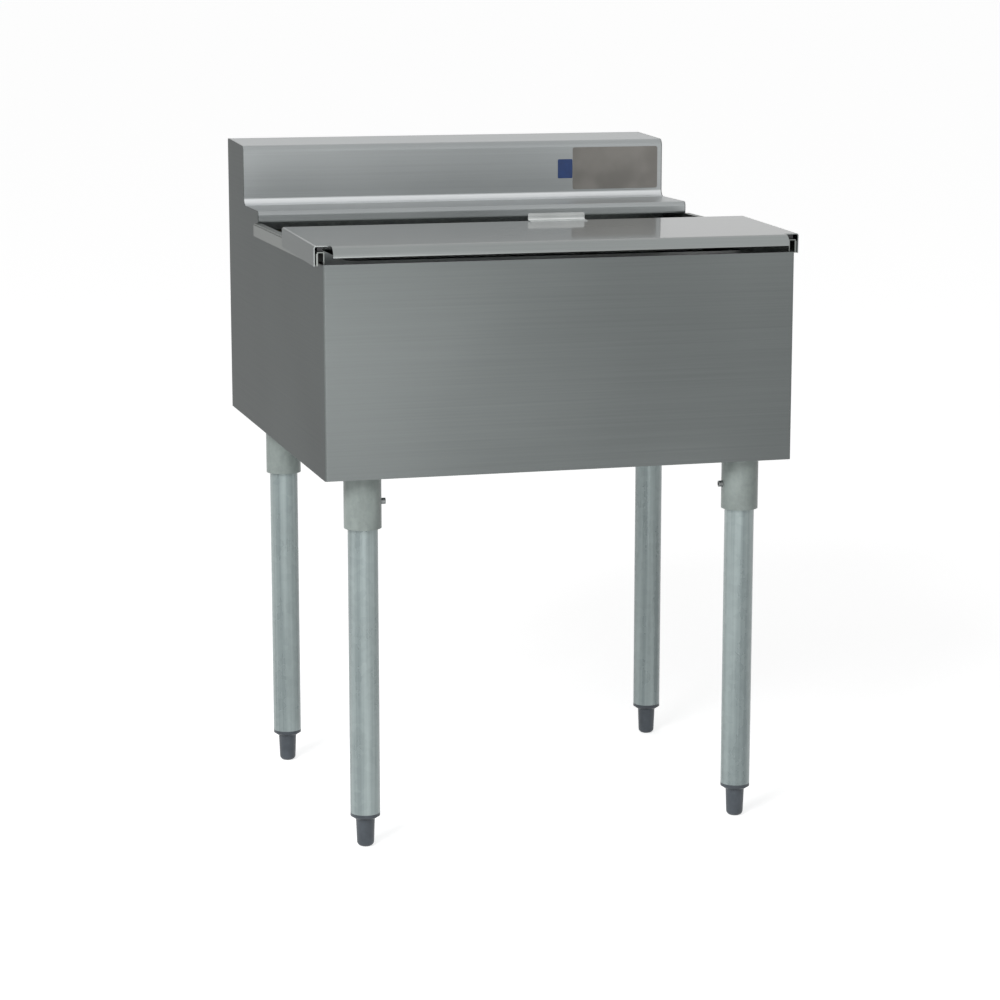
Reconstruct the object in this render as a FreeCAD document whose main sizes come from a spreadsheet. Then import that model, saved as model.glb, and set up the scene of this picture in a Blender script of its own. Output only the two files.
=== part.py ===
import FreeCAD, Part

import math
import os
import re

import Sketcher

# Underbar ice bin on four legs: an insulated basin with a drain, a rear deck
# with a backsplash, and two sliding covers.  Millimetres, +Z up, +X to the
# right of someone who stands in front of it, +Y towards the wall.  The origin
# is on the floor, midway between the front cover's lip and the back edge.

SIZES = (
    # casing
    ("casing_width", 610.0, "outside width over the side panels"),
    ("casing_depth", 638.0, "front panel to back edge"),
    ("casing_height", 266.5, "height of the front and side panels"),
    ("sheet_wall", 1.2, "steel sheet"),
    ("bend_inside", 1.8, "inside radius of a fold"),
    ("casing_return", 14.0, "fold along the top of the front panel"),
    ("pan_recess", 12.0, "lower edge of the panels to the bottom pan"),
    ("pan_flange", 16.0, "upturned edge of the bottom pan"),
    ("wall_setback", 10.0, "rear wall of the insulated box ahead of the backsplash"),
    # basin
    ("side_insulation", 38.0, "casing side to the inside of the basin"),
    ("front_insulation", 38.0, "front panel to the inside of the basin"),
    ("floor_insulation", 25.3, "bottom pan to the basin floor"),
    ("basin_cove", 19.0, "radius of the basin's corners"),
    ("basin_tuck", 2.0, "rear wall of the basin behind the deck's front edge"),
    ("rear_flange", 32.0, "basin rim behind the basin's rear wall"),
    ("foam_gap", 0.3, "foam to the curved basin"),
    # deck and backsplash
    ("deck_height", 778.0, "floor to the deck"),
    ("rim_below_deck", 31.0, "deck to the basin's rim"),
    ("deck_depth", 105.0, "deck, front edge to backsplash"),
    ("deck_drop", 16.0, "folded front edge of the deck"),
    ("deck_bend", 6.0, "radius along the deck's front edge"),
    ("deck_hem", 12.0, "fold under the front edge of the deck"),
    ("splash_depth", 114.0, "backsplash box, front to back"),
    ("splash_face", 81.0, "deck to the top of the backsplash's face"),
    ("splash_rise", 4.6, "fall of the backsplash's top towards the front"),
    ("splash_cove", 9.0, "radius at the foot of the backsplash"),
    ("splash_bend", 9.0, "radius along the top of the backsplash's face"),
    ("splash_hem", 20.0, "fold at the back of the backsplash's top"),
    # runners
    ("runner_width", 9.0, "inverted channel"),
    ("runner_outset", 5.0, "runner outside the casing's side"),
    ("runner_drop", 2.0, "outer web below the rim"),
    ("runner_hem", 15.0, "height of the hem on the outer web"),
    # covers
    ("cover_slope", 1.7, "degrees, down to the front"),
    ("cover_side", 9.0, "front cover outside the casing's side"),
    ("cover_nose", 10.0, "front cover ahead of the front panel"),
    ("cover_length", 217.0, "front cover along its slope"),
    ("cover_flange", 25.0, "side flange of the front cover"),
    ("cover_lip", 13.0, "front lip of the front cover"),
    ("cover_nose_round", 12.0, "radius of the front cover's front edge"),
    ("cover_corner", 20.0, "open front corners of the front cover"),
    ("cover_fold", 8.0, "rear edge of the front cover, folded down"),
    ("glide_gap", 0.3, "cover to what it slides on"),
    ("glide_width", 6.0, "tapered glide under the front cover"),
    ("glide_front", 5.5, "glide's height, taken on to the cover's front edge"),
    ("glide_inset", 6.0, "glide to the ends of the cover's flanges"),
    ("side_gap", 0.8, "cover to what guides it sideways"),
    ("pull_width", 77.0, "finger pull"),
    ("pull_height", 10.0, "finger pull above the front cover"),
    ("pull_foot", 14.0, "foot of the finger pull"),
    ("pull_offset", 51.5, "finger pull to the right of the middle"),
    ("cover_lap", 20.0, "rear cover under the front cover"),
    ("rear_upstand", 3.0, "front edge of the rear cover"),
    ("rear_turn_down", 14.0, "folds of the rear cover inside the basin"),
    # legs
    ("front_leg_side", 55.0, "casing side to the front legs' axis"),
    ("rear_leg_inset", 57.0, "rear wall to the rear legs' axis"),
    ("plate_clearance", 0.8, "socket's plate to the panels"),
    ("tube_outside", 38.1, "leg tube diameter"),
    ("tube_wall", 1.5, "leg tube wall"),
    ("tube_bottom", 44.6, "floor to the end of the leg tube"),
    ("collar_wall", 4.5, "leg socket"),
    ("collar_long", 75.9, "collar below its plate"),
    ("tube_gap", 0.2, "leg tube in its socket, radial"),
    ("plate_side", 72.0, "socket's square plate"),
    ("plate_thick", 3.0, "socket's square plate"),
    ("weld_leg", 3.0, "weld between collar and plate"),
    ("screw_size", 8.0, "set screw diameter"),
    ("screw_long", 10.0, "set screw length"),
    ("screw_key", 4.0, "hexagon recess across flats"),
    ("screw_above", 32.4, "collar's lower end to the set screw"),
    # feet
    ("insert_lip", 4.0, "insert's lip under the leg tube"),
    ("insert_long", 30.0, "insert's plug in the leg tube"),
    ("insert_gap", 0.15, "insert's plug in the leg tube, radial"),
    ("stud_size", 12.0, "foot's stud"),
    ("stud_gap", 0.08, "foot's stud in the insert, radial"),
    ("stud_long", 44.0, "foot's stud above the foot's shoulder"),
    ("foot_top_size", 24.6, "foot's diameter at its shoulder"),
    ("foot_low_size", 21.5, "foot's diameter near the floor"),
    ("foot_round", 6.0, "radius of the foot's rounded end"),
    ("foot_gap", 0.3, "foot's shoulder under the insert"),
    # drain
    ("recess_size", 92.0, "round recess in the basin floor"),
    ("recess_deep", 4.0, "depth of the recess"),
    ("flange_margin", 4.0, "drain flange in the recess, radial"),
    ("drain_flange_thick", 1.5, "drain flange"),
    ("drain_neck", 45.0, "drain neck diameter"),
    ("neck_below", 18.5, "drain neck below the bottom pan"),
    ("drain_gap", 0.3, "drain neck in what it passes through, radial"),
    ("gasket_size", 70.0, "drain gasket diameter"),
    ("gasket_thick", 2.0, "drain gasket"),
    ("nut_size", 64.0, "drain nut across flats"),
    ("nut_thick", 10.0, "drain nut"),
    ("nut_room", 15.0, "foam to the drain nut's corners"),
    ("outlet_size", 33.4, "outlet pipe diameter"),
    ("outlet_bore", 27.0, "outlet pipe bore"),
    ("outlet_long", 28.0, "outlet pipe below its shoulder"),
    ("outlet_step", 0.5, "outlet pipe's shoulder, radial, and its gap under the neck"),
    ("outlet_overlap", 18.0, "outlet pipe inside the neck"),
    ("strainer_margin", 4.0, "strainer on the drain flange, radial"),
    ("strainer_thick", 1.5, "strainer"),
    ("strainer_hole", 8.0, "strainer's holes"),
    ("strainer_edge", 4.0, "strainer's outer holes to its edge"),
)

document = FreeCAD.newDocument("ice_bin")
sheet = document.addObject("Spreadsheet::Sheet", "sizes")
for row, (alias, size, note) in enumerate(SIZES, start=1):
    sheet.set("A%d" % row, note)
    sheet.set("B%d" % row, str(size))
    sheet.setAlias("B%d" % row, alias)
document.recompute()

# Places that several pieces share, as expressions of the sheet's sizes.
half_width = "(casing_width / 2)"
back = "((casing_depth + cover_nose) / 2)"
cover_front = "(0 - %s)" % back
front = "(cover_nose - %s)" % back
rim = "(deck_height - rim_below_deck)"
casing_low = "(%s - casing_height)" % rim
splash_front = "(%s - splash_depth)" % back
deck_front = "(%s - splash_depth - deck_depth)" % back
box_back = "(%s - wall_setback)" % splash_front
pan_under = "(%s + pan_recess)" % casing_low
pan_top = "(%s + sheet_wall)" % pan_under
basin_half = "(%s - side_insulation)" % half_width
basin_front = "(%s + front_insulation)" % front
basin_back = "(%s - basin_tuck)" % deck_front
basin_middle = "((%s + %s) / 2)" % (basin_front, basin_back)
basin_floor = "(%s + floor_insulation)" % pan_top
basin_deep = "(%s - %s)" % (rim, basin_floor)
runner_out = "(%s + runner_outset)" % half_width
runner_in = "(%s - runner_width)" % runner_out
runner_top = "(deck_height - deck_drop)"
cover_top = "(%s + glide_gap + glide_front + sheet_wall)" % runner_top
recess_floor = "(%s - recess_deep)" % basin_floor
recess_under = "(%s - sheet_wall)" % recess_floor
rear_cover_front = "(%s + cover_length * cos(cover_slope * 1 deg) - cover_lap)" % cover_front
rear_cover_back = "(%s + rear_flange / 2)" % basin_back
rear_cover_under = "(%s + glide_gap)" % rim
plate_under = "(%s - plate_thick)" % pan_under
collar_low = "(%s - collar_long)" % plate_under
neck_low = "(%s - neck_below)" % pan_under
drain_flange = "(recess_size - 2 * flange_margin)"
strainer_size = "(%s - 2 * strainer_margin)" % drain_flange
strainer_pitch = "((%s / 2 - strainer_hole / 2 - strainer_edge) / 2)" % strainer_size
shoulder = "(tube_bottom - insert_lip - foot_gap)"

# Two places closer than this are the same place.
touching = 0.01


def bound(expression):
    return re.sub(r"\b([a-z]+(?:_[a-z]+)+)\b", r"sizes.\1", expression)


def number(expression):
    return float(sheet.evalExpression(bound(expression)))


def newBody(label, x="0", y="0", z="0"):
    body = document.addObject("PartDesign::Body", label)
    body.Label = label
    for axis, place in (("x", x), ("y", y), ("z", z)):
        body.setExpression("Placement.Base." + axis, bound(place))
    return body


def newSketch(body, role, lift="0"):
    sketch = body.newObject("Sketcher::SketchObject", "outline")
    plane = next(item for item in body.Origin.OriginFeatures if item.Role == role)
    sketch.AttachmentSupport = [(plane, "")]
    sketch.MapMode = "FlatFace"
    sketch.setExpression("AttachmentOffset.Base.z", bound(lift))
    return sketch


def pin(sketch, kind, geometry, point, expression):
    place = number(expression)
    index = sketch.addConstraint(Sketcher.Constraint(kind, -1, 1, geometry, point, place))
    sketch.setExpression("Constraints[%d]" % index, bound(expression))


def addPolygon(sketch, points):
    first = sketch.GeometryCount
    places = [FreeCAD.Vector(number(u), number(v), 0) for u, v in points]
    count = len(points)
    for i in range(count):
        sketch.addGeometry(Part.LineSegment(places[i], places[(i + 1) % count]), False)
    for i in range(count):
        sketch.addConstraint(Sketcher.Constraint("Coincident", first + i, 2, first + (i + 1) % count, 1))
    for i, (u, v) in enumerate(points):
        pin(sketch, "DistanceX", first + i, 1, u)
        pin(sketch, "DistanceY", first + i, 1, v)


def addRectangle(sketch, left, right, low, high):
    addPolygon(sketch, [(left, low), (right, low), (right, high), (left, high)])


def addCircle(sketch, u, v, diameter):
    centre = FreeCAD.Vector(number(u), number(v), 0)
    radius = number(diameter) / 2
    index = sketch.addGeometry(Part.Circle(centre, FreeCAD.Vector(0, 0, 1), radius), False)
    pin(sketch, "DistanceX", index, 3, u)
    pin(sketch, "DistanceY", index, 3, v)
    size = sketch.addConstraint(Sketcher.Constraint("Radius", index, radius))
    sketch.setExpression("Constraints[%d]" % size, bound("(%s) / 2" % diameter))


def addHexagon(sketch, flats):
    corner = "(%s) / sqrt(3)" % flats
    points = [("%s * cos(%d deg)" % (corner, turn), "%s * sin(%d deg)" % (corner, turn))
              for turn in range(0, 360, 60)]
    addPolygon(sketch, points)


def pad(body, sketch, length, middle=False):
    feature = body.newObject("PartDesign::Pad", "pad")
    feature.Profile = sketch
    feature.setExpression("Length", bound(length))
    feature.Midplane = middle
    document.recompute()
    return feature


def pocket(body, sketch, length, middle=False):
    before = body.Shape.Volume
    feature = body.newObject("PartDesign::Pocket", "pocket")
    feature.Profile = sketch
    feature.setExpression("Length", bound(length))
    feature.Midplane = middle
    document.recompute()
    if not feature.Shape.Volume < before:
        raise RuntimeError("%s: a pocket cuts nothing" % body.Label)
    return feature


def fillet(body, radius, chosen):
    base = body.Tip
    names = ["Edge%d" % (i + 1) for i, edge in enumerate(base.Shape.Edges)
             if not edge.Degenerated and chosen(edge)]
    if not names:
        raise RuntimeError("%s: no edge to round" % body.Label)
    feature = body.newObject("PartDesign::Fillet", "fillet")
    feature.Base = (base, names)
    feature.setExpression("Radius", bound(radius))
    document.recompute()
    return feature


def chamfer(body, size, chosen):
    base = body.Tip
    names = ["Edge%d" % (i + 1) for i, edge in enumerate(base.Shape.Edges)
             if not edge.Degenerated and chosen(edge)]
    if not names:
        raise RuntimeError("%s: no edge to chamfer" % body.Label)
    feature = body.newObject("PartDesign::Chamfer", "chamfer")
    feature.Base = (base, names)
    feature.setExpression("Size", bound(size))
    document.recompute()
    return feature


def along(edge, direction):
    if edge.Curve.TypeId != "Part::GeomLine":
        return False
    return abs(edge.tangentAt(edge.FirstParameter).dot(direction)) > 0.999


def middle(edge):
    return edge.valueAt((edge.FirstParameter + edge.LastParameter) / 2)


def near(value, expression):
    return abs(value - number(expression)) < touching


def revolve(body, points):
    """Turn an outline in the XZ plane about the body's own Z axis."""
    sketch = newSketch(body, "XZ_Plane")
    addPolygon(sketch, points)
    feature = body.newObject("PartDesign::Revolution", "revolution")
    feature.Profile = sketch
    feature.ReferenceAxis = (sketch, ["V_Axis"])
    feature.Angle = 360
    document.recompute()
    return feature


xAxis = FreeCAD.Vector(1, 0, 0)
yAxis = FreeCAD.Vector(0, 1, 0)
zAxis = FreeCAD.Vector(0, 0, 1)


def makeCasing():
    """Front panel and both side panels, one folded sheet, open at the back."""
    body = newBody("casing_shell")
    outer = newSketch(body, "XY_Plane", casing_low)
    inside = "(%s - sheet_wall)" % half_width
    addPolygon(outer, [
        ("0 - " + half_width, front), (half_width, front), (half_width, back), (inside, back),
        (inside, front + " + sheet_wall"), ("0 - " + inside, front + " + sheet_wall"),
        ("0 - " + inside, back), ("0 - " + half_width, back)])
    pad(body, outer, "casing_height")
    fillet(body, "bend_inside + sheet_wall",
           lambda edge: along(edge, zAxis) and near(middle(edge).y, front))
    fillet(body, "bend_inside",
           lambda edge: along(edge, zAxis) and near(middle(edge).y, front + " + sheet_wall"))
    for level in (rim + " - 2 * sheet_wall", casing_low):
        fold = newSketch(body, "XY_Plane", level)
        flat = "(%s - bend_inside)" % inside
        addRectangle(fold, "0 - " + flat, flat, front + " + sheet_wall / 2", front + " + casing_return")
        pad(body, fold, "sheet_wall")
    return body


def makeBottomPan():
    """Tray that closes the insulated box from below, with the drain's hole."""
    body = newBody("bottom_pan")
    side = "(%s - sheet_wall)" % half_width
    near_edge = "(%s + sheet_wall)" % front
    far_edge = "(%s - sheet_wall)" % box_back
    tray = newSketch(body, "XY_Plane", pan_under)
    addRectangle(tray, "0 - " + side, side, near_edge, far_edge)
    pad(body, tray, "pan_flange")
    fillet(body, "bend_inside + 0.1", lambda edge: along(edge, zAxis))
    hollow = newSketch(body, "XY_Plane", pan_under + " + pan_flange")
    addRectangle(hollow, "sheet_wall - " + side, side + " - sheet_wall",
                 near_edge + " + sheet_wall", far_edge + " - sheet_wall")
    pocket(body, hollow, "pan_flange - sheet_wall")
    hole = newSketch(body, "XY_Plane", pan_top)
    addCircle(hole, "0", basin_middle, "drain_neck + 8 * sheet_wall")
    pocket(body, hole, "2 * sheet_wall")
    return body


def makeRearWall():
    """Back of the insulated box, up to the deck; pipes run in the space behind it."""
    body = newBody("rear_wall")
    side = "(%s - sheet_wall)" % half_width
    plate = newSketch(body, "XY_Plane", pan_under)
    addRectangle(plate, "0 - " + side, side, box_back + " - sheet_wall", box_back)
    pad(body, plate, "deck_height - sheet_wall - %s" % pan_under)
    for left, right in (("0 - " + side, "sheet_wall - " + side), (side + " - sheet_wall", side)):
        turn = newSketch(body, "XY_Plane", pan_under)
        addRectangle(turn, left, right, box_back + " - sheet_wall", box_back + " + pan_flange")
        pad(body, turn, "%s - %s" % (rim, pan_under))
    return body


def hollowForBasin(body, spread, depth):
    """Cut a coved hollow, wider than the basin's inside by spread on each side."""
    hollow = newSketch(body, "XY_Plane", rim)
    addRectangle(hollow, "0 - %s - %s" % (basin_half, spread), "%s + %s" % (basin_half, spread),
                 "%s - %s" % (basin_front, spread), "%s + %s" % (basin_back, spread))
    pocket(body, hollow, depth)
    wall = number("%s + %s" % (basin_half, spread))
    low = number("%s - (%s)" % (rim, depth))

    def chosen(edge):
        point = middle(edge)
        inside = abs(point.x) < wall + touching
        inside = inside and number(basin_front + " - " + spread) - touching < point.y
        inside = inside and point.y < number(basin_back + " + " + spread) + touching
        corner = along(edge, zAxis) and abs(abs(point.x) - wall) < touching
        foot = abs(point.z - low) < touching
        return inside and (corner or foot)

    fillet(body, "basin_cove + " + spread, chosen)


def makeFoam():
    """Insulation between the basin and the casing."""
    body = newBody("insulation_foam")
    side = "(%s - 2 * sheet_wall - foam_gap)" % half_width
    block = newSketch(body, "XY_Plane", pan_top)
    addRectangle(block, "0 - " + side, side,
                 front + " + 2 * sheet_wall + foam_gap", box_back + " - 2 * sheet_wall - foam_gap")
    pad(body, block, "%s - 2 * sheet_wall - 2 * foam_gap - %s" % (rim, pan_top))
    corner = lambda edge: along(edge, zAxis)
    fillet(body, "bend_inside + sheet_wall", corner)
    hollowForBasin(body, "(sheet_wall + foam_gap)", basin_deep + " + sheet_wall + foam_gap")
    room = newSketch(body, "XY_Plane", basin_floor)
    addCircle(room, "0", basin_middle, "nut_size / cos(30 deg) + 2 * nut_room")
    pocket(body, room, "%s - %s + sheet_wall" % (basin_floor, pan_top))
    fold = newSketch(body, "XY_Plane", rim)
    addRectangle(fold, "0 - " + half_width, half_width, front, front + " + casing_return + foam_gap")
    pocket(body, fold, "3 * sheet_wall + foam_gap")
    return body


def makeBasin():
    """Pressed liner: coved basin, flat rim and a round recess for the drain."""
    body = newBody("basin_liner")
    wall_x = "(%s + sheet_wall)" % basin_half
    base = basin_floor + " - sheet_wall"
    tub = newSketch(body, "XY_Plane", base)
    addRectangle(tub, "0 - " + wall_x, wall_x, basin_front + " - sheet_wall", basin_back + " + sheet_wall")
    pad(body, tub, basin_deep)
    flange = newSketch(body, "XY_Plane", rim + " - sheet_wall")
    wide = "(%s - sheet_wall - foam_gap)" % half_width
    addRectangle(flange, "0 - " + wide, wide, front + " + sheet_wall + foam_gap",
                 basin_back + " + rear_flange")
    pad(body, flange, "sheet_wall")
    hollowForBasin(body, "0", basin_deep)
    fillet(body, "basin_cove + sheet_wall",
           lambda edge: near(middle(edge).z, base)
           or along(edge, zAxis) and near(abs(middle(edge).x), wall_x))
    dish = newSketch(body, "XY_Plane", recess_under)
    addCircle(dish, "0", basin_middle, "recess_size + 2 * sheet_wall")
    pad(body, dish, "recess_deep + sheet_wall / 2")
    recess = newSketch(body, "XY_Plane", basin_floor + " + sheet_wall")
    addCircle(recess, "0", basin_middle, "recess_size")
    pocket(body, recess, "recess_deep + sheet_wall")
    hole = newSketch(body, "XY_Plane", basin_floor)
    addCircle(hole, "0", basin_middle, "drain_neck + 2 * drain_gap")
    pocket(body, hole, "recess_deep + 2 * sheet_wall")
    return body


def makeRunner(label, side):
    """Inverted channel on the basin's rim, level with the foot of the deck's edge.

    Its outer web hangs outside the casing and has a hem.  Its ends are open.
    """
    body = newBody(label)
    foot = "(%s - runner_drop)" % rim
    walls = (
        (runner_in, "(%s + sheet_wall)" % runner_in, rim, runner_top),
        (runner_in, runner_out, "(%s - sheet_wall)" % runner_top, runner_top),
        ("(%s - sheet_wall)" % runner_out, runner_out, foot, runner_top),
        (runner_out, "(%s + sheet_wall)" % runner_out, foot, "(%s + runner_hem)" % foot),
    )
    for inner, outer, low, high in walls:
        wall = newSketch(body, "XY_Plane", low)
        left, right = (inner, outer) if side > 0 else ("0 - " + outer, "0 - " + inner)
        addRectangle(wall, left, right, cover_front + " + cover_corner", deck_front + " - sheet_wall / 4")
        pad(body, wall, "%s - %s" % (high, low))
    return body


def makeDeck():
    """Deck, coved backsplash and its top, one folded sheet."""
    body = newBody("deck_and_splash")
    top = "(deck_height + splash_face)"
    skin = newSketch(body, "YZ_Plane")
    under = "(deck_height - deck_drop)"
    addPolygon(skin, [
        (deck_front, under),
        (deck_front + " + deck_hem", under),
        (deck_front + " + deck_hem", under + " + sheet_wall"),
        (deck_front + " + sheet_wall", under + " + sheet_wall"),
        (deck_front + " + sheet_wall", "deck_height - sheet_wall"),
        (splash_front + " + sheet_wall", "deck_height - sheet_wall"),
        (splash_front + " + sheet_wall", top + " - sheet_wall"),
        (back + " - sheet_wall", top + " + splash_rise - sheet_wall"),
        (back + " - sheet_wall", top + " + splash_rise - splash_hem"),
        (back, top + " + splash_rise - splash_hem"),
        (back, top + " + splash_rise"),
        (splash_front, top),
        (splash_front, "deck_height"),
        (deck_front, "deck_height")])
    pad(body, skin, "casing_width - 2 * sheet_wall", middle=True)

    def fold(y, z):
        return lambda edge: along(edge, xAxis) and near(middle(edge).y, y) and near(middle(edge).z, z)

    outside = "bend_inside + sheet_wall"
    fillet(body, "deck_bend", fold(deck_front, "deck_height"))
    fillet(body, "deck_bend - sheet_wall", fold(deck_front + " + sheet_wall", "deck_height - sheet_wall"))
    fillet(body, outside, fold(deck_front, under))
    fillet(body, "bend_inside", fold(deck_front + " + sheet_wall", under + " + sheet_wall"))
    fillet(body, "splash_cove", fold(splash_front, "deck_height"))
    fillet(body, "splash_cove + sheet_wall", fold(splash_front + " + sheet_wall", "deck_height - sheet_wall"))
    fillet(body, "splash_bend", fold(splash_front, top))
    fillet(body, "splash_bend - sheet_wall", fold(splash_front + " + sheet_wall", top + " - sheet_wall"))
    fillet(body, outside, fold(back, top + " + splash_rise"))
    return body


def makeSplashEnd(label, side):
    """Welded end plate: it closes the deck and the backsplash at one side."""
    body = newBody(label)
    top = "(deck_height + splash_face)"
    lift = "(%s - sheet_wall)" % half_width if side > 0 else "(0 - %s)" % half_width
    plate = newSketch(body, "YZ_Plane", lift)
    addPolygon(plate, [
        (deck_front, rim), (back, rim), (back, top + " + splash_rise"), (splash_front, top),
        (splash_front, "deck_height"), (deck_front, "deck_height")])
    pad(body, plate, "sheet_wall")

    def fold(y, z):
        return lambda edge: along(edge, xAxis) and near(middle(edge).y, y) and near(middle(edge).z, z)

    fillet(body, "deck_bend", fold(deck_front, "deck_height"))
    fillet(body, "splash_cove", fold(splash_front, "deck_height"))
    fillet(body, "splash_bend", fold(splash_front, top))
    fillet(body, "bend_inside + sheet_wall", fold(back, top + " + splash_rise"))
    return body


def leanWithCover(body):
    """Turn a body by the cover's slope about its front edge."""
    lean = FreeCAD.Rotation(xAxis, number("cover_slope"))
    body.Placement = FreeCAD.Placement(body.Placement.Base, lean)


def makeFrontCover():
    """Upper sliding cover: rounded nose, open front corners, side flanges, rear fold."""
    body = newBody("front_cover", y=cover_front, z=cover_top)
    wide = "(%s + cover_side)" % half_width
    inner = "(%s - sheet_wall)" % wide
    plate = newSketch(body, "XY_Plane", "0 - cover_flange")
    addRectangle(plate, "0 - " + wide, wide, "cover_corner", "cover_length")
    pad(body, plate, "cover_flange")
    room = newSketch(body, "XZ_Plane")
    addRectangle(room, "0 - " + inner, inner, "0 - 2 * cover_flange", "0 - sheet_wall")
    pocket(body, room, "2 * cover_length", middle=True)
    fillet(body, "bend_inside + sheet_wall", lambda edge: along(edge, yAxis) and near(middle(edge).z, "0"))
    fillet(body, "bend_inside",
           lambda edge: along(edge, yAxis) and near(middle(edge).z, "0 - sheet_wall"))
    nose = newSketch(body, "YZ_Plane")
    addPolygon(nose, [
        ("0", "0 - cover_lip"), ("sheet_wall", "0 - cover_lip"), ("sheet_wall", "0 - sheet_wall"),
        ("cover_corner", "0 - sheet_wall"), ("cover_corner", "0"), ("0", "0")])
    pad(body, nose, "2 * (%s - cover_corner)" % wide, middle=True)

    def bend(y, z):
        return lambda edge: along(edge, xAxis) and near(middle(edge).y, y) and near(middle(edge).z, z)

    fillet(body, "cover_nose_round", bend("0", "0"))
    fillet(body, "cover_nose_round - sheet_wall", bend("sheet_wall", "0 - sheet_wall"))
    fold = newSketch(body, "XY_Plane", "0 - cover_fold")
    fold_end = "(%s - bend_inside)" % inner
    addRectangle(fold, "0 - " + fold_end, fold_end, "cover_length - sheet_wall", "cover_length")
    pad(body, fold, "cover_fold - sheet_wall / 2")
    leanWithCover(body)
    return body


def makeGlide(label, side):
    """Tapered strip under the front cover: its flat foot slides on the runner."""
    body = newBody(label, y=cover_front, z=cover_top)
    inner = "(%s + (runner_width - glide_width) / 2)" % runner_in
    foot = "(0 - (glide_front + sheet_wall) / cos(cover_slope * 1 deg))"
    profile = newSketch(body, "YZ_Plane", inner if side > 0 else "(0 - %s - glide_width)" % inner)
    start = "(cover_corner + glide_inset)"
    end = "(cover_length - glide_inset)"
    addPolygon(profile, [
        (start, "%s - %s * tan(cover_slope * 1 deg)" % (foot, start)),
        (end, "%s - %s * tan(cover_slope * 1 deg)" % (foot, end)),
        (end, "0 - sheet_wall"),
        (start, "0 - sheet_wall")])
    pad(body, profile, "glide_width")
    leanWithCover(body)
    return body


def makePull():
    """Finger pull: a folded tab that stands at the front cover's rear edge."""
    body = newBody("front_cover_pull", x="pull_offset", y=cover_front, z=cover_top)
    tab = newSketch(body, "YZ_Plane")
    face = "(cover_length - sheet_wall)"
    addPolygon(tab, [
        ("cover_length", "0"), ("cover_length", "pull_height"), (face, "pull_height"),
        (face, "sheet_wall"), ("cover_length - pull_foot", "sheet_wall"),
        ("cover_length - pull_foot", "0")])
    pad(body, tab, "pull_width", middle=True)
    fillet(body, "2 * sheet_wall",
           lambda edge: along(edge, yAxis) and near(middle(edge).z, "pull_height"))
    fillet(body, "bend_inside",
           lambda edge: along(edge, xAxis) and near(middle(edge).z, "sheet_wall")
           and near(middle(edge).y, face))
    leanWithCover(body)
    return body


def makeRearCover():
    """Lower sliding cover: it lies on the basin's rim, between the runners."""
    body = newBody("rear_cover")
    wide = "(%s - side_gap)" % runner_in
    plate = newSketch(body, "XY_Plane", rear_cover_under)
    addRectangle(plate, "0 - " + wide, wide, rear_cover_front, rear_cover_back)
    pad(body, plate, "sheet_wall")
    upstand = newSketch(body, "XY_Plane", rear_cover_under)
    addRectangle(upstand, "0 - " + wide, wide, rear_cover_front, rear_cover_front + " + sheet_wall")
    pad(body, upstand, "sheet_wall + rear_upstand")
    fold_end = "(%s - basin_cove)" % basin_half
    rear_fold = "(%s - side_gap - sheet_wall)" % basin_back
    for place in (rear_cover_front, rear_fold):
        fold = newSketch(body, "XY_Plane", rear_cover_under + " - rear_turn_down")
        addRectangle(fold, "0 - " + fold_end, fold_end, place, place + " + sheet_wall")
        pad(body, fold, "rear_turn_down + sheet_wall / 2")
    return body


def makeRing(label, outside, inside, low, high, x="0", y="0"):
    body = newBody(label, x=x, y=y, z=low)
    ring = newSketch(body, "XY_Plane")
    addCircle(ring, "0", "0", outside)
    addCircle(ring, "0", "0", inside)
    pad(body, ring, "%s - %s" % (high, low))
    return body


def makeSocket(label, x, y, turn):
    """Leg socket: a square plate under the pan with a welded collar."""
    body = newBody(label, x=x, y=y, z=plate_under)
    plate = newSketch(body, "XY_Plane")
    addRectangle(plate, "0 - plate_side / 2", "plate_side / 2", "0 - plate_side / 2", "plate_side / 2")
    pad(body, plate, "plate_thick")
    fillet(body, "2 * plate_thick", lambda edge: along(edge, zAxis))
    collar = newSketch(body, "XY_Plane", "0 - collar_long")
    bore = "(tube_outside + 2 * tube_gap)"
    addCircle(collar, "0", "0", bore + " + 2 * collar_wall")
    addCircle(collar, "0", "0", bore)
    pad(body, collar, "collar_long")
    girth = "pi * (%s + 2 * collar_wall)" % bore
    chamfer(body, "weld_leg", lambda edge: near(middle(edge).z, "0") and near(edge.Length, girth))
    tapped = newSketch(body, "YZ_Plane", bore + " / 2 + 2 * collar_wall")
    addCircle(tapped, "0", "screw_above - collar_long", "screw_size + tube_gap")
    pocket(body, tapped, "3 * collar_wall")
    body.Placement = FreeCAD.Placement(body.Placement.Base, FreeCAD.Rotation(zAxis, turn))
    return body


def makeInsert(label, x, y):
    """Insert pressed into the leg's lower end; the foot's stud runs in it."""
    body = newBody(label, x=x, y=y)
    bore = "stud_size / 2 + stud_gap"
    plug = "tube_outside / 2 - tube_wall - insert_gap"
    low = "tube_bottom - insert_lip"
    revolve(body, [
        (bore, low), ("tube_outside / 2", low), ("tube_outside / 2", "tube_bottom"),
        (plug, "tube_bottom"), (plug, "tube_bottom + insert_long"), (bore, "tube_bottom + insert_long")])
    return body


def makeFoot(label, x, y):
    """Bullet foot: a tapered, rounded body with a stud on top."""
    body = newBody(label, x=x, y=y)
    stud_top = shoulder + " + stud_long"
    revolve(body, [
        ("0", "0"), ("foot_low_size / 2", "0"), ("foot_top_size / 2", shoulder),
        ("stud_size / 2", shoulder), ("stud_size / 2", stud_top), ("0", stud_top)])
    fillet(body, "foot_round",
           lambda edge: near(middle(edge).z, "0") and edge.Curve.TypeId == "Part::GeomCircle")
    return body


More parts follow.
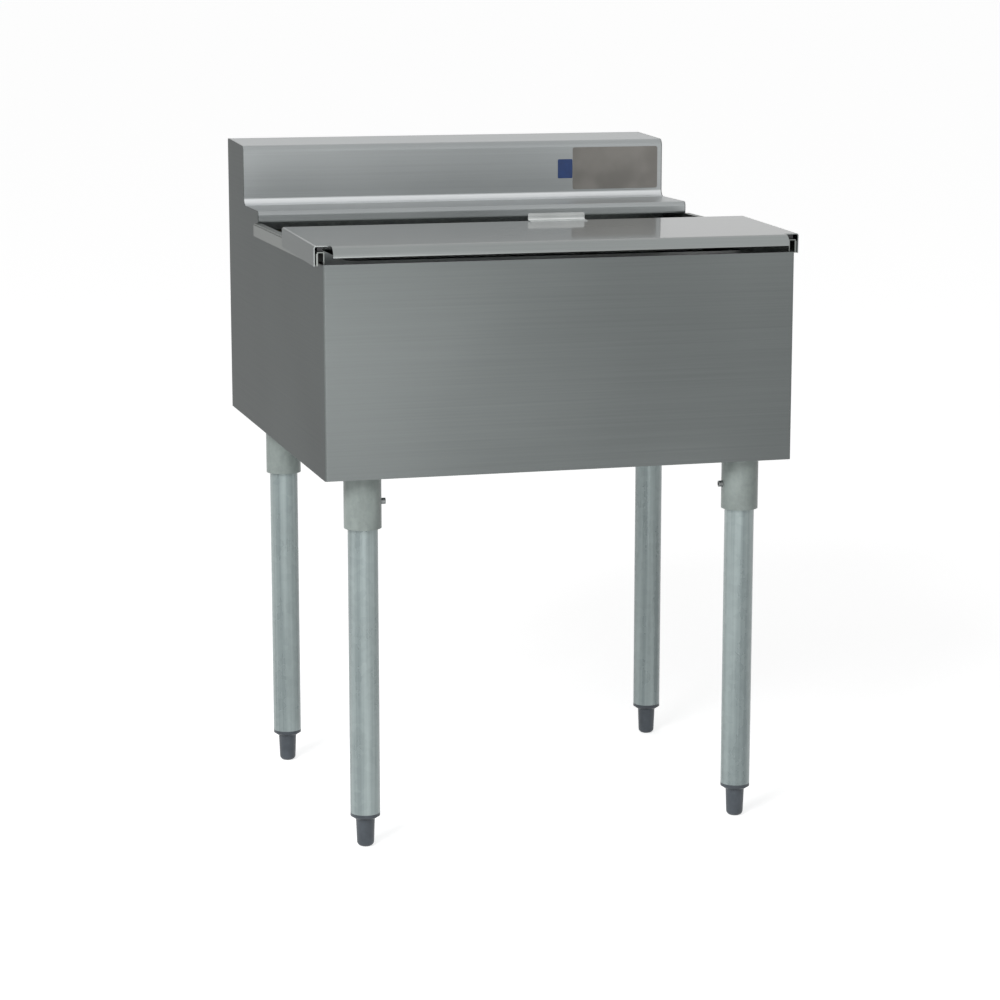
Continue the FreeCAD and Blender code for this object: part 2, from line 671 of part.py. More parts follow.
def makeSetScrews(places):
    """One set screw through each socket's collar, with a hexagon recess."""
    screws = []
    for x, y, side in places:
        out = "(tube_outside / 2 + screw_long)"
        shank = document.addObject("Part::Cylinder", "shank")
        shank.setExpression("Radius", bound("screw_size / 2"))
        shank.setExpression("Height", bound("screw_long"))
        key = document.addObject("Part::Prism", "key")
        key.Polygon = 6
        key.setExpression("Circumradius", bound("screw_key / sqrt(3)"))
        key.setExpression("Height", bound("screw_long"))
        key.setExpression("Placement.Base.z", bound("screw_long / 2"))
        screw = document.addObject("Part::Cut", "screw")
        screw.Base = shank
        screw.Tool = key
        document.recompute()
        start = "%s + %d * tube_outside / 2" % (x, side)
        screw.Placement.Rotation = FreeCAD.Rotation(yAxis, 90 * side)
        for axis, place in (("x", start), ("y", y), ("z", collar_low + " + screw_above")):
            screw.setExpression("Placement.Base." + axis, bound(place))
        screws.append(screw)
    group = document.addObject("Part::Compound", "socket_set_screws")
    group.Links = screws
    return group


def makeDrain():
    """Drain through the basin floor: flanged neck, gasket, nut and outlet pipe."""
    neck = "drain_neck / 2"
    bore = "outlet_size / 2 - outlet_step + drain_gap / 3"
    low = "%s - %s" % (neck_low, recess_floor)
    flange = drain_flange + " / 2"
    body = newBody("drain_body", y=basin_middle, z=recess_floor)
    revolve(body, [
        (bore, low), (neck, low), (neck, "0"), (flange, "0"),
        (flange, "drain_flange_thick"), (bore, "drain_flange_thick")])
    passing = "(drain_neck + 2 * drain_gap)"
    gasket_low = "(%s - gasket_thick)" % recess_under
    gasket = makeRing("drain_gasket", "gasket_size", passing, gasket_low, recess_under, y=basin_middle)
    nut = newBody("drain_nut", y=basin_middle, z=gasket_low + " - nut_thick")
    outline = newSketch(nut, "XY_Plane")
    addHexagon(outline, "nut_size")
    addCircle(outline, "0", "0", "drain_neck + drain_gap / 3")
    pad(nut, outline, "nut_thick")
    return [body, gasket, nut, makeOutlet()]


def makeOutlet():
    """Outlet pipe: its upper end sits in the neck, up to a small shoulder."""
    body = newBody("outlet_pipe", y=basin_middle, z=neck_low + " - outlet_step")
    revolve(body, [
        ("outlet_bore / 2", "0 - outlet_long"), ("outlet_size / 2", "0 - outlet_long"),
        ("outlet_size / 2", "0"), ("outlet_size / 2 - outlet_step", "0"),
        ("outlet_size / 2 - outlet_step", "outlet_step + outlet_overlap"),
        ("outlet_bore / 2", "outlet_step + outlet_overlap")])
    return body


def makeStrainer():
    """Perforated disc that lies loose on the drain flange."""
    low = "(%s + drain_flange_thick + glide_gap)" % recess_floor
    body = newBody("drain_strainer", y=basin_middle, z=low)
    disc = newSketch(body, "XY_Plane")
    addCircle(disc, "0", "0", strainer_size)
    addCircle(disc, "0", "0", "strainer_hole")
    pad(body, disc, "strainer_thick")
    for ring, count in ((1, 6), (2, 12)):
        drill = newSketch(body, "XY_Plane", "strainer_thick")
        addCircle(drill, "%d * %s" % (ring, strainer_pitch), "0", "strainer_hole")
        hole = pocket(body, drill, "2 * strainer_thick")
        pattern = body.newObject("PartDesign::PolarPattern", "ring_of_holes")
        pattern.Originals = [hole]
        turn_axis = next(item for item in body.Origin.OriginFeatures if item.Role == "Z_Axis")
        pattern.Axis = (turn_axis, [""])
        pattern.Angle = 360
        pattern.Occurrences = count
        body.Tip = pattern
        document.recompute()
    return body


def makeLegs():
    from_panel = "(plate_side / 2 + sheet_wall + plate_clearance)"
    front_x = "(%s - front_leg_side)" % half_width
    front_y = "(%s + %s)" % (front, from_panel)
    rear_x = "(%s - %s)" % (half_width, from_panel)
    rear_y = "(%s - rear_leg_inset)" % box_back
    legs = (
        ("front_left", "(0 - %s)" % front_x, front_y, 1),
        ("front_right", front_x, front_y, -1),
        ("rear_left", "(0 - %s)" % rear_x, rear_y, 1),
        ("rear_right", rear_x, rear_y, -1),
    )
    pieces = []
    for name, x, y, side in legs:
        turn = 0 if side > 0 else 180
        pieces.append(makeSocket(name + "_socket", x, y, turn))
        pieces.append(makeRing(name + "_leg", "tube_outside", "tube_outside - 2 * tube_wall",
                               "tube_bottom", plate_under + " - tube_gap", x=x, y=y))
        pieces.append(makeInsert(name + "_insert", x, y))
        pieces.append(makeFoot(name + "_foot", x, y))
    pieces.append(makeSetScrews([(x, y, side) for name, x, y, side in legs]))
    return pieces


def write(pieces):
    document.recompute()
    for item in document.Objects:
        if "Invalid" in item.State or "Error" in item.State:
            raise RuntimeError("%s (%s) failed" % (item.Label, item.Name))
    for piece in pieces:
        if piece.Shape.isNull() or not piece.Shape.isValid():
            raise RuntimeError("%s has no valid shape" % piece.Label)
    os.makedirs("parts", exist_ok=True)
    for piece in pieces:
        piece.Shape.exportStep(os.path.join("parts", piece.Label + ".step"))
        box = piece.Shape.BoundBox
        print("%-20s %2d solid(s) %9.0f mm3  x %.1f..%.1f  y %.1f..%.1f  z %.1f..%.1f" % (
            piece.Label, len(piece.Shape.Solids), piece.Shape.Volume,
            box.XMin, box.XMax, box.YMin, box.YMax, box.ZMin, box.ZMax))


pieces = [makeCasing(), makeBottomPan(), makeRearWall(), makeFoam(), makeBasin()]
pieces += [makeRunner("left_runner", -1), makeRunner("right_runner", 1)]
pieces += [makeDeck(), makeSplashEnd("left_splash_end", -1), makeSplashEnd("right_splash_end", 1)]
pieces += [makeFrontCover(), makeGlide("front_cover_left_glide", -1), makeGlide("front_cover_right_glide", 1)]
pieces += [makePull(), makeRearCover()]
pieces += makeDrain()
pieces += [makeStrainer()]
pieces += makeLegs()
write(pieces)
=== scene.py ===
import math

import bmesh
import bpy
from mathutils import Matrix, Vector


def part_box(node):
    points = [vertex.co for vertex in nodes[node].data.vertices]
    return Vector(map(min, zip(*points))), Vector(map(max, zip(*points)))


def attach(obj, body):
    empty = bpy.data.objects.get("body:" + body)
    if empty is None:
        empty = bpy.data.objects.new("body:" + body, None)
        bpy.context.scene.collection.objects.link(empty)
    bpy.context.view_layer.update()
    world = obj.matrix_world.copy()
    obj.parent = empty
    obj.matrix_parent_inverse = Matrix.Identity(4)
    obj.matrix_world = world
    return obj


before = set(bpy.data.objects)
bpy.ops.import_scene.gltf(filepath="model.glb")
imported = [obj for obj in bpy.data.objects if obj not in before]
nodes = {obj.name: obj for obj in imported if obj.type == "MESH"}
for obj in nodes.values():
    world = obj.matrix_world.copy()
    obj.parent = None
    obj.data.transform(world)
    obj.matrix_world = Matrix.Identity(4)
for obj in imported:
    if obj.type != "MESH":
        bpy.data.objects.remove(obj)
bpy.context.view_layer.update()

# An ice bin of folded steel on four galvanised legs.
# Metres, +Z up, the front towards -Y.
print("frame loaded:", len(nodes), "pieces")


class Wire:
    # one socket of a node tree, which maths can be written with
    def __init__(self, tree, socket=None):
        self.tree = tree
        self.socket = socket

    def node(self, kind, settings, inputs, output=0):
        made = self.tree.nodes.new("ShaderNode" + kind)
        for name, setting in settings.items():
            setattr(made, name, setting)
        for name, given in inputs.items():
            if isinstance(given, Wire):
                self.tree.links.new(given.socket, made.inputs[name])
            else:
                made.inputs[name].default_value = given
        return Wire(self.tree, made.outputs[output] if len(made.outputs) else None)

    def maths(self, operation, first, second=0.0):
        return self.node("Math", {"operation": operation}, {0: first, 1: second})

    def __add__(self, other):
        return self.maths("ADD", self, other)

    def __sub__(self, other):
        return self.maths("SUBTRACT", self, other)

    def __rsub__(self, other):
        return self.maths("SUBTRACT", other, self)

    def __mul__(self, other):
        return self.maths("MULTIPLY", self, other)

    def __abs__(self):
        return self.maths("ABSOLUTE", self)

    __radd__ = __add__
    __rmul__ = __mul__

    def over(self, level):
        return self.maths("GREATER_THAN", self, level)

    def most(self, other):
        return self.maths("MAXIMUM", self, other)

    def stretched(self, scale):
        return self.node("VectorMath", {"operation": "MULTIPLY"}, {0: self, 1: scale})

    def part(self, letter):
        return self.node("SeparateXYZ", {}, {"Vector": self}, letter)

    def fade(self, low, high):
        # 0 below low, 1 above high, and smooth between them
        span = {"Value": self, "From Min": low, "From Max": high}
        return self.node("MapRange", {"interpolation_type": "SMOOTHSTEP"}, span)

    def colours(self, low, high):
        # self from 0 to 1 turns one colour into the other
        return self.node("Mix", {"data_type": "RGBA"}, {0: self, 6: rgba(low), 7: rgba(high)}, 2)

    def tinted(self, other):
        settings = {"data_type": "RGBA", "blend_type": "MULTIPLY"}
        return self.node("Mix", settings, {0: 1.0, 6: self, 7: rgba(other)}, 2)


def rgba(colour):
    return colour if isinstance(colour, Wire) else (*colour, 1.0)


def emptyTree(owner):
    # the bare node tree of a new material or world
    owner.use_nodes = True
    owner.node_tree.nodes.clear()
    return Wire(owner.node_tree)


def makeMaterial(name, describe, finish):
    material = bpy.data.materials.new(name)
    wire = emptyTree(material)
    shader = wire.node("BsdfPrincipled", {}, describe(wire, finish))
    wire.node("OutputMaterial", {}, {"Surface": shader})
    return material


def noise(wire, place, scale, detail=2.0, roughness=0.5):
    return wire.node("TexNoise", {}, {
        "Vector": place, "Scale": scale, "Detail": detail, "Roughness": roughness}, "Fac")


def bump(wire, height, depth):
    return wire.node("Bump", {}, {"Height": height, "Distance": depth, "Strength": 1.0})


# Brushed sheet: the grain runs along X, and along Y on the faces to the sides. On the flats that
# face up, topMetal below 1 is a duller brushing, and the coat is the bright polish of a cover.
panelFinish = {
    "tone": (0.158, 0.172, 0.170), "deep": (0.132, 0.144, 0.143), "roughness": 0.35,
    "grainLength": 0.30, "grainWidth": 0.0022, "grainShare": 0.05, "cloudSize": 0.35,
    "edgeTint": 0.50, "topMetal": 1.0, "coat": 0.0}
# painted reflection: the runners' tone and edge tint are lighter than the panel's, so their outer
# faces show as a bright band along the rim
railFinish = {
    "tone": (0.225, 0.240, 0.230), "deep": (0.195, 0.208, 0.200), "roughness": 0.34,
    "grainLength": 0.30, "grainWidth": 0.0022, "grainShare": 0.06, "cloudSize": 0.20,
    "edgeTint": 0.72, "topMetal": 1.0, "coat": 0.0}
# painted light: the deck's tone is lighter than the panel's, a lit copy of the same steel, so deck
# and backsplash show brighter
deckFinish = {
    "tone": (0.380, 0.401, 0.404), "deep": (0.340, 0.360, 0.364), "roughness": 0.34,
    "grainLength": 0.35, "grainWidth": 0.0022, "grainShare": 0.04, "cloudSize": 0.30,
    "edgeTint": 1.0, "topMetal": 0.45, "coat": 0.0}
coverFinish = {
    "tone": (0.300, 0.318, 0.316), "deep": (0.268, 0.286, 0.283), "roughness": 0.30,
    "grainLength": 0.35, "grainWidth": 0.0020, "grainShare": 0.05, "cloudSize": 0.30,
    "edgeTint": 0.50, "topMetal": 1.0, "coat": 0.65}
# painted light: the lower cover's tone is lighter than the cover's, lifting the shade in the gap
# under the deck where it shows
lowerCoverPaintedLightFinish = {
    "tone": (0.500, 0.520, 0.515), "deep": (0.440, 0.460, 0.455), "roughness": 0.46,
    "grainLength": 0.35, "grainWidth": 0.0020, "grainShare": 0.05, "cloudSize": 0.30,
    "edgeTint": 1.0, "topMetal": 0.6, "coat": 0.0}
pullFinish = {
    "tone": (0.700, 0.720, 0.715), "deep": (0.620, 0.640, 0.635), "roughness": 0.26,
    "grainLength": 0.20, "grainWidth": 0.0015, "grainShare": 0.06, "cloudSize": 0.05,
    "edgeTint": 1.0, "topMetal": 1.0, "coat": 0.0}
basinFinish = {
    "tone": (0.400, 0.415, 0.415), "deep": (0.340, 0.355, 0.355), "roughness": 0.30,
    "grainLength": 0.18, "grainWidth": 0.0024, "grainShare": 0.08, "cloudSize": 0.20,
    "edgeTint": 1.0, "topMetal": 1.0, "coat": 0.0}
sheetLook = {"grainDepth": 0.00004, "polishRoughness": 0.05}  # the same on every sheet


def brushedSteel(wire, finish):
    place = wire.node("TexCoord", {}, {}, "Object")
    facing = wire.node("NewGeometry", {}, {}, "True Normal")
    sideways = abs(facing.part("X")).over(0.7)
    along, across = 1 / finish["grainLength"], 1 / finish["grainWidth"]
    streaks = wire.node("Mix", {"data_type": "VECTOR"}, {
        0: sideways, 4: place.stretched((along, across, across)),
        5: place.stretched((across, along, across))}, 1)
    grain = noise(wire, streaks, 1.0, 3.0, 0.65)
    cloud = noise(wire, place, 1 / finish["cloudSize"], 2.0, 0.4)
    share = finish["grainShare"]
    steel = cloud.fade(0.3, 0.7).colours(finish["deep"], finish["tone"])
    upward = facing.part("Z").over(0.8)
    polish = upward * finish["coat"] if finish["coat"] else 0.0
    dulled = facing.part("Z").fade(0.1, 0.5) * (1 - finish["topMetal"])
    metal = 1 - dulled if finish["topMetal"] < 1 else 1.0
    return {
        "Base Color": steel.tinted(
            grain.fade(0.2, 0.8).colours((1 - share,) * 3, (1 + share,) * 3)),
        "Metallic": metal,
        "Roughness": finish["roughness"] + (grain - 0.5) * 0.12 + (cloud - 0.5) * 0.08,
        "Specular Tint": (*(finish["edgeTint"],) * 3, 1.0),
        "Coat Weight": polish,
        "Coat Roughness": sheetLook["polishRoughness"],
        "Normal": bump(wire, grain, sheetLook["grainDepth"])}


# The cove between deck and backsplash: a painted highlight, a light colour on its tilted faces.
coveHighlightLook = {"behind": 0.1995, "below": 0.790, "tone": (0.700, 0.720, 0.730)}


def deckBrushedWithPaintedHighlight(wire, finish):
    look = brushedSteel(wire, finish)
    place = wire.node("TexCoord", {}, {}, "Object")
    tilt = wire.node("NewGeometry", {}, {}, "True Normal").part("Z").fade(0.0, 0.15)
    behind = place.part("Y").over(coveHighlightLook["behind"])
    below = 1 - place.part("Z").over(coveHighlightLook["below"])
    # painted highlight: the tilted faces of the cove turn to the light cove colour
    coveHighlight = tilt * behind * below
    look["Base Color"] = coveHighlight.colours(look["Base Color"], coveHighlightLook["tone"])
    return look


# Zinc: soft streaks along a drawn tube, and faint crystals. On the tubes the streaks are wide, long
# and strong: partly the zinc's drawn streaks, partly painted reflection bands.
tubeFinish = {
    "tone": (0.410, 0.476, 0.472), "deep": (0.200, 0.242, 0.245), "metallic": 0.30,
    "gloss": 0.35, "roughness": 0.29, "crystal": 0.008, "crystalShare": 0.06, "streak": 0.011,
    "drawn": 70.0, "patinaShare": 0.20, "contrast": 0.24, "depth": 0.00002}
castFinish = {
    "tone": (0.360, 0.410, 0.391), "deep": (0.232, 0.267, 0.254), "metallic": 0.05,
    "gloss": 0.25, "roughness": 0.36, "crystal": 0.004, "crystalShare": 0.10, "streak": 0.016,
    "drawn": 3.0, "patinaShare": 0.35, "contrast": 0.28, "depth": 0.00006}
trayFinish = {
    "tone": (0.360, 0.395, 0.400), "deep": (0.290, 0.321, 0.326), "metallic": 0.70,
    "gloss": 0.50, "roughness": 0.38, "crystal": 0.009, "crystalShare": 0.75, "streak": 0.020,
    "drawn": 1.0, "patinaShare": 0.40, "contrast": 0.30, "depth": 0.00003}
patinaScale = 0.12  # patches of patina to the width of a crystal


def galvanised(wire, finish):
    place = wire.node("TexCoord", {}, {}, "Object")
    drawn = place.stretched((1.0, 1.0, 1 / finish["drawn"]))
    streaks = noise(wire, drawn, 1 / finish["streak"], 3.0, 0.55)
    patina = noise(wire, place, patinaScale / finish["crystal"], 3.0, 0.55)
    crystals = wire.node(
        "TexVoronoi", {}, {"Vector": place, "Scale": 1 / finish["crystal"]}, "Color")
    shade = crystals.part("X") * finish["crystalShare"] + streaks * (1 - finish["crystalShare"])
    zinc = shade * (1 - finish["patinaShare"]) + patina * finish["patinaShare"]
    zinc = zinc.fade(0.5 - finish["contrast"], 0.5 + finish["contrast"])
    return {
        "Base Color": zinc.colours(finish["deep"], finish["tone"]),
        "Metallic": finish["metallic"],
        "Specular IOR Level": finish["gloss"],
        "Roughness": finish["roughness"] + (shade - 0.5) * 0.12 + (patina - 0.5) * 0.16,
        "Normal": bump(wire, shade + patina, finish["depth"])}


insertFinish = {
    "tone": (0.070, 0.084, 0.098), "deep": (0.046, 0.056, 0.067), "roughness": 0.42,
    "speckSize": 0.0016, "speckDepth": 0.00006, "rubScale": 45.0, "threadPitch": 0.00175,
    "threadDepth": 0.0}
footFinish = {
    "tone": (0.078, 0.093, 0.110), "deep": (0.052, 0.064, 0.077), "roughness": 0.42,
    "speckSize": 0.0016, "speckDepth": 0.00006, "rubScale": 45.0, "threadPitch": 0.00175,
    "threadDepth": 0.0007}
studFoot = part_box("front_left_insert")[0][2]  # what stands above this is the foot's threaded stud


def mouldedPlastic(wire, finish):
    place = wire.node("TexCoord", {}, {}, "Object")
    speck = noise(wire, place, 1 / finish["speckSize"], 2.0, 0.6)
    rub = noise(wire, place, finish["rubScale"], 3.0, 0.6)
    height = place.part("Z")
    turns = wire.node("Math", {"operation": "PINGPONG"}, {0: height, 1: finish["threadPitch"] / 2})
    thread = turns * height.over(studFoot) * (2 / finish["threadPitch"])
    return {
        "Base Color": rub.fade(0.3, 0.75).colours(finish["deep"], finish["tone"]),
        "Roughness": finish["roughness"] + (rub - 0.5) * 0.25,
        "Normal": bump(wire, speck * finish["speckDepth"] + thread * finish["threadDepth"], 1.0)}


glideFinish = {
    "tone": (0.055, 0.055, 0.060), "deep": (0.035, 0.035, 0.038), "roughness": 0.45,
    "rubScale": 70.0, "rubDepth": 0.00003}
tagFinish = {
    "tone": (0.022, 0.055, 0.175), "deep": (0.017, 0.042, 0.140), "roughness": 0.38,
    "rubScale": 70.0, "rubDepth": 0.00003}


def smoothPlastic(wire, finish):
    place = wire.node("TexCoord", {}, {}, "Object")
    rub = noise(wire, place, finish["rubScale"], 3.0, 0.6)
    return {
        "Base Color": rub.fade(0.3, 0.7).colours(finish["deep"], finish["tone"]),
        "Roughness": finish["roughness"] + (rub - 0.5) * 0.2,
        "Normal": bump(wire, rub, finish["rubDepth"])}


plateFinish = {
    "tone": (0.250, 0.240, 0.222), "deep": (0.190, 0.182, 0.168), "metallic": 0.35,
    "roughness": 0.42, "cloudScale": 28.0, "fineScale": 900.0, "fineDepth": 0.00003}


def barePlate(wire, finish):
    place = wire.node("TexCoord", {}, {}, "Object")
    cloud = noise(wire, place, finish["cloudScale"], 2.0, 0.4)
    fine = noise(wire, place, finish["fineScale"], 2.0, 0.5)
    return {
        "Base Color": cloud.fade(0.3, 0.7).colours(finish["deep"], finish["tone"]),
        "Metallic": finish["metallic"],
        "Roughness": finish["roughness"] + (cloud - 0.5) * 0.2,
        "Normal": bump(wire, fine, finish["fineDepth"])}


foamFinish = {
    "tone": (0.80, 0.72, 0.50), "deep": (0.66, 0.57, 0.36), "roughness": 0.85,
    "cell": 0.0012, "cellDepth": 0.0004, "cloudScale": 12.0}


def rigidFoam(wire, finish):
    place = wire.node("TexCoord", {}, {}, "Object")
    cells = wire.node("TexVoronoi", {}, {"Vector": place, "Scale": 1 / finish["cell"]}, "Distance")
    cloud = noise(wire, place, finish["cloudScale"], 3.0)
    return {
        "Base Color": cloud.fade(0.25, 0.75).colours(finish["deep"], finish["tone"]),
        "Roughness": finish["roughness"],
        "Normal": bump(wire, cells, finish["cellDepth"])}


drainFinish = {
    "tone": (0.46, 0.47, 0.47), "deep": (0.34, 0.35, 0.355), "roughness": 0.20,
    "spotScale": 90.0, "spotDepth": 0.00006}


def platedMetal(wire, finish):
    place = wire.node("TexCoord", {}, {}, "Object")
    spots = noise(wire, place, finish["spotScale"], 4.0, 0.6)
    return {
        "Base Color": spots.fade(0.3, 0.7).colours(finish["deep"], finish["tone"]),
        "Metallic": 1.0,
        "Roughness": finish["roughness"] + (spots - 0.4) * 0.25,
        "Normal": bump(wire, spots, finish["spotDepth"])}


rubberFinish = {
    "tone": (0.045, 0.045, 0.047), "deep": (0.020, 0.020, 0.022), "roughness": 0.70,
    "bloomScale": 160.0, "bloomDepth": 0.0001}


def blackRubber(wire, finish):
    place = wire.node("TexCoord", {}, {}, "Object")
    bloom = noise(wire, place, finish["bloomScale"], 3.0, 0.6)
    return {
        "Base Color": bloom.fade(0.3, 0.8).colours(finish["deep"], finish["tone"]),
        "Roughness": finish["roughness"] + (bloom - 0.5) * 0.2,
        "Normal": bump(wire, bloom, finish["bloomDepth"])}


screwFinish = {
    "tone": (0.330, 0.350, 0.345), "deep": (0.200, 0.210, 0.210), "metallic": 0.90,
    "roughness": 0.38, "wearScale": 700.0, "wearDepth": 0.00005}


def wornSteel(wire, finish):
    place = wire.node("TexCoord", {}, {}, "Object")
    wear = noise(wire, place, finish["wearScale"], 3.0, 0.6)
    return {
        "Base Color": wear.fade(0.45, 0.8).colours(finish["deep"], finish["tone"]),
        "Metallic": finish["metallic"],
        "Roughness": finish["roughness"] + (wear - 0.5) * 0.2,
        "Normal": bump(wire, wear, finish["wearDepth"])}


print("materials")
steel = makeMaterial("panel_steel", brushedSteel, panelFinish)
railSteel = makeMaterial("rail_steel", brushedSteel, railFinish)
deckSteel = makeMaterial("deck_steel", deckBrushedWithPaintedHighlight, deckFinish)
coverSteel = makeMaterial("cover_steel", brushedSteel, coverFinish)
lowerCoverPaintedLightSteel = makeMaterial("lower_cover_painted_light_steel", brushedSteel, lowerCoverPaintedLightFinish)
pullSteel = makeMaterial("pull_steel", brushedSteel, pullFinish)
basinSteel = makeMaterial("basin_steel", brushedSteel, basinFinish)
tubeZinc = makeMaterial("tube_zinc", galvanised, tubeFinish)
castZinc = makeMaterial("cast_zinc", galvanised, castFinish)
trayZinc = makeMaterial("tray_zinc", galvanised, trayFinish)
insertPlastic = makeMaterial("insert_plastic", mouldedPlastic, insertFinish)
footPlastic = makeMaterial("foot_plastic", mouldedPlastic, footFinish)
glidePlastic = makeMaterial("glide_plastic", smoothPlastic, glideFinish)
tagPlastic = makeMaterial("tag_plastic", smoothPlastic, tagFinish)
plateMetal = makeMaterial("plate_metal", barePlate, plateFinish)
foam = makeMaterial("rigid_foam", rigidFoam, foamFinish)
drainMetal = makeMaterial("drain_metal", platedMetal, drainFinish)
rubber = makeMaterial("gasket_rubber", blackRubber, rubberFinish)
screwSteel = makeMaterial("screw_steel", wornSteel, screwFinish)

legs = ("front_left", "front_right", "rear_left", "rear_right")
dressed = {
    steel: ["casing_shell", "left_splash_end", "right_splash_end"],
    railSteel: ["left_runner", "right_runner"],
    deckSteel: ["deck_and_splash"],
    coverSteel: ["front_cover"],
    lowerCoverPaintedLightSteel: ["rear_cover"],
    pullSteel: ["front_cover_pull"],
    glidePlastic: ["front_cover_left_glide", "front_cover_right_glide"],
    basinSteel: ["basin_liner", "drain_strainer"],
    trayZinc: ["bottom_pan", "rear_wall"],
    tubeZinc: [leg + "_leg" for leg in legs],
    castZinc: [leg + "_socket" for leg in legs],
    insertPlastic: [leg + "_insert" for leg in legs],
    footPlastic: [leg + "_foot" for leg in legs],
    foam: ["insulation_foam"],
    drainMetal: ["drain_body", "drain_nut", "outlet_pipe"],
    rubber: ["drain_gasket"],
    screwSteel: ["socket_set_screws"]}
for material, names in dressed.items():
    for name in names:
        for slot in nodes[name].material_slots:
            slot.material = material


def makeObject(name, content):
    made = bpy.data.objects.new(name, content)
    bpy.context.scene.collection.objects.link(made)
    return made


def meshObject(shape, name, material):
    mesh = bpy.data.meshes.new(name)
    shape.to_mesh(mesh)
    shape.free()
    mesh.materials.append(material)
    return makeObject(name, mesh)


def finishPiece(shape, name, material):
    # the bmesh becomes a piece that stays with the bin
    piece = meshObject(shape, name, material)
    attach(piece, "bin")


# The bare plate and the square tag on the backsplash's face.
barePlateLook = {
    "left": 0.171, "right": 0.298, "low": 0.790, "top": 0.8495, "thick": 0.0005,
    "corner": 0.003, "edge": 0.0002}
tagLook = {
    "left": 0.149, "right": 0.1705, "low": 0.806, "top": 0.833, "thick": 0.0008,
    "corner": 0.0015, "edge": 0.0003}
splashDepth = 0.114  # the backsplash, front to back
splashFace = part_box("deck_and_splash")[1][1] - splashDepth


def makeFlatTag(name, look, material):
    shape = bmesh.new()
    bmesh.ops.create_cube(shape, size=1.0)
    wide, high = look["right"] - look["left"], look["top"] - look["low"]
    bmesh.ops.scale(shape, vec=(wide, look["thick"], high), verts=shape.verts)
    corners = [edge for edge in shape.edges if edge.verts[0].co.y * edge.verts[1].co.y < 0]
    bmesh.ops.bevel(shape, geom=corners, offset=look["corner"], affect="EDGES",
                    segments=5, profile=0.5, material=-1)
    rim = [edge for edge in shape.edges if all(vert.co.y < 0 for vert in edge.verts)]
    bmesh.ops.bevel(shape, geom=rim, offset=look["edge"], affect="EDGES",
                    segments=2, profile=0.5, material=-1)
    middle = ((look["left"] + look["right"]) / 2, splashFace - look["thick"] / 2,
              (look["low"] + look["top"]) / 2)
    bmesh.ops.translate(shape, vec=middle, verts=shape.verts)
    finishPiece(shape, name, material)


print("plate and tag")
makeFlatTag("splash_plate", barePlateLook, plateMetal)
makeFlatTag("splash_tag", tagLook, tagPlastic)


# The tapered shoulder under each leg's insert, round the top of its foot.
shoulderLook = {
    "height": 0.0035, "wide": 0.0187, "narrow": 0.0140, "bore": 0.0129, "edge": 0.0005,
    "sharp": 0.4, "steps": 48}  # sharp: radians between faces whose edge is rounded


def makeShoulder(leg, look):
    low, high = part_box(leg + "_insert")
    axis = ((low[0] + high[0]) / 2, (low[1] + high[1]) / 2, low[2])
    shape = bmesh.new()
    profile = ((look["bore"], 0.0), (look["wide"], 0.0),
               (look["narrow"], -look["height"]), (look["bore"], -look["height"]))
    corners = [shape.verts.new((axis[0] + out, axis[1], axis[2] + up)) for out, up in profile]
    edges = [shape.edges.new((corners[i - 1], corners[i])) for i in range(4)]
    bmesh.ops.spin(shape, geom=corners + edges, cent=axis, axis=(0, 0, 1), angle=2 * math.pi,
                   steps=look["steps"], use_merge=True)
    bmesh.ops.remove_doubles(shape, verts=shape.verts, dist=0.00001)
    bmesh.ops.recalc_face_normals(shape, faces=shape.faces)
    rims = [edge for edge in shape.edges if edge.calc_face_angle() > look["sharp"]]
    bmesh.ops.bevel(shape, geom=rims, offset=look["edge"], affect="EDGES",
                    segments=2, profile=0.5, material=-1)
    for face in shape.faces:
        face.smooth = True
    finishPiece(shape, leg + "_shoulder", insertPlastic)


print("shoulders")
for leg in legs:
    makeShoulder(leg, shoulderLook)


floorLook = {"size": 120.0, "colour": 0.80, "lift": 0.71}


def makeFloor(look):
    shape = bmesh.new()
    bmesh.ops.create_grid(shape, x_segments=1, y_segments=1, size=look["size"])
    material = bpy.data.materials.new("floor_white")
    wire = emptyTree(material)
    shade = wire.node("BsdfDiffuse", {}, {"Color": (*(look["colour"],) * 3, 1.0)})
    glow = wire.node("Emission", {}, {"Strength": seenDirectly(wire) * look["lift"]})
    both = wire.node("AddShader", {}, {0: shade, 1: glow})
    wire.node("OutputMaterial", {}, {"Surface": both})
    floor = meshObject(shape, "floor", material)


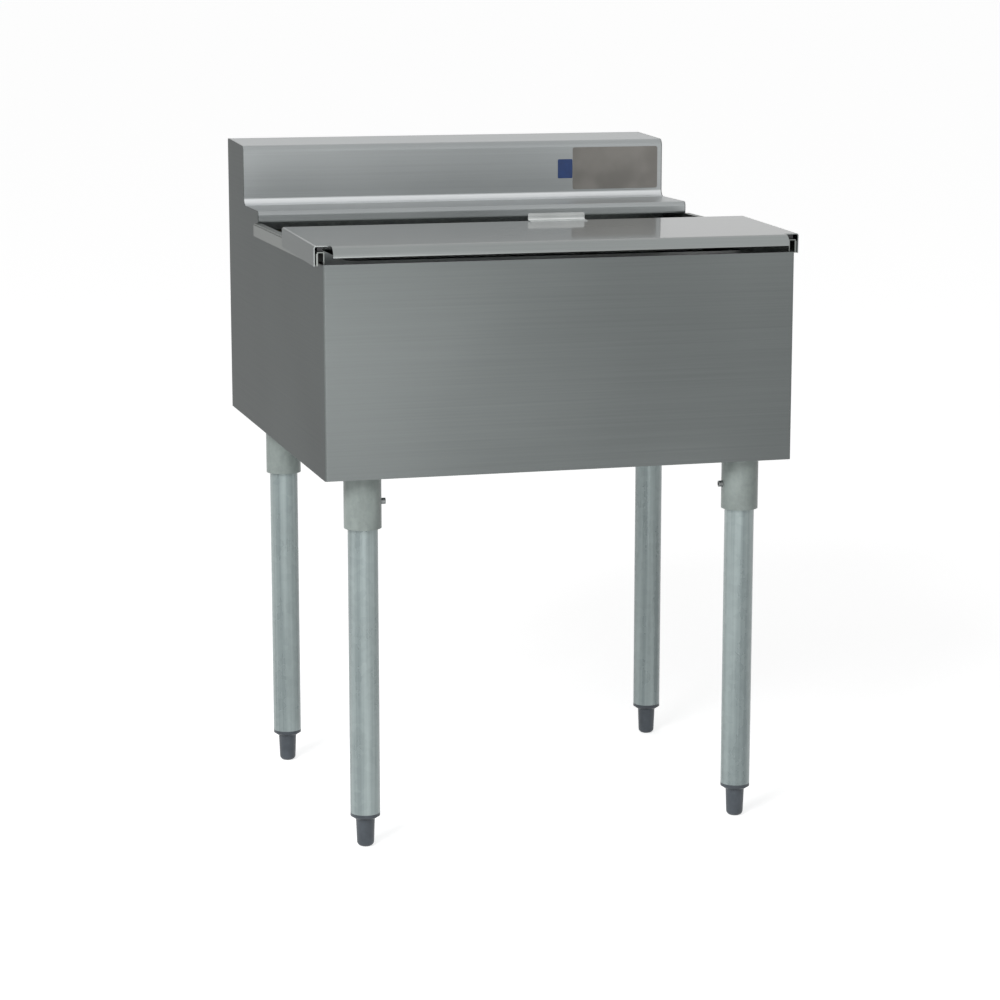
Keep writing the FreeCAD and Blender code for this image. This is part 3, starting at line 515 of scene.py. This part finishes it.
def seenDirectly(wire):
    # 1 for what the camera sees, also in metal and through glass
    path = {name: wire.node("LightPath", {}, {}, name)
            for name in ("Is Camera Ray", "Is Glossy Ray", "Is Transmission Ray")}
    return path["Is Camera Ray"].most(path["Is Glossy Ray"]).most(path["Is Transmission Ray"])


skyLook = {"left": 0.56, "right": 0.12, "seen": 1.0}  # more light comes from the left


def makeSky(look):
    world = bpy.data.worlds.new("studio")
    bpy.context.scene.world = world
    wire = emptyTree(world)
    across = wire.node("TexCoord", {}, {}, "Generated").part("X").fade(-1.0, 1.0)
    light = across * (look["right"] - look["left"]) + look["left"]
    strength = light + seenDirectly(wire) * (look["seen"] - light)
    back = wire.node("Background", {}, {"Color": (1.0, 1.0, 1.0, 1.0), "Strength": strength})
    wire.node("OutputWorld", {}, {"Surface": back})


lampLook = {
    "key": {"place": (-2.4, -2.6, 2.6), "size": 1.8, "power": 82.0},
    "low": {"place": (-0.30, -2.30, 0.22), "size": 1.2, "power": 6.0}}
lampTarget = Vector((0.0, 0.0, 0.5))


def makeLamps(look, target):
    for name, lamp in look.items():
        data = bpy.data.lights.new(name, "AREA")
        data.shape = "DISK"
        data.size = lamp["size"]
        data.energy = lamp["power"]
        made = makeObject(name, data)
        made.visible_camera = False
        made.location = lamp["place"]
        made.rotation_euler = (target - made.location).to_track_quat("-Z", "Y").to_euler()


photoView = {
    "place": (-1.0111, -3.6466, 1.1005), "yaw": 15.57, "pitch": 10.70, "lens": 101.37,
    "sensor": 36.0, "reach": 500.0}


def makeCamera(look):
    data = bpy.data.cameras.new("camera")
    data.sensor_width = look["sensor"]
    data.lens = look["lens"]
    data.clip_end = look["reach"]
    camera = makeObject("camera", data)
    camera.location = look["place"]
    camera.rotation_euler = (math.radians(90 - look["pitch"]), 0.0, math.radians(-look["yaw"]))
    bpy.context.scene.camera = camera


print("floor, light and camera")
makeFloor(floorLook)
makeSky(skyLook)
makeLamps(lampLook, lampTarget)
makeCamera(photoView)
bpy.context.scene.view_settings.view_transform = "Standard"

print("done")
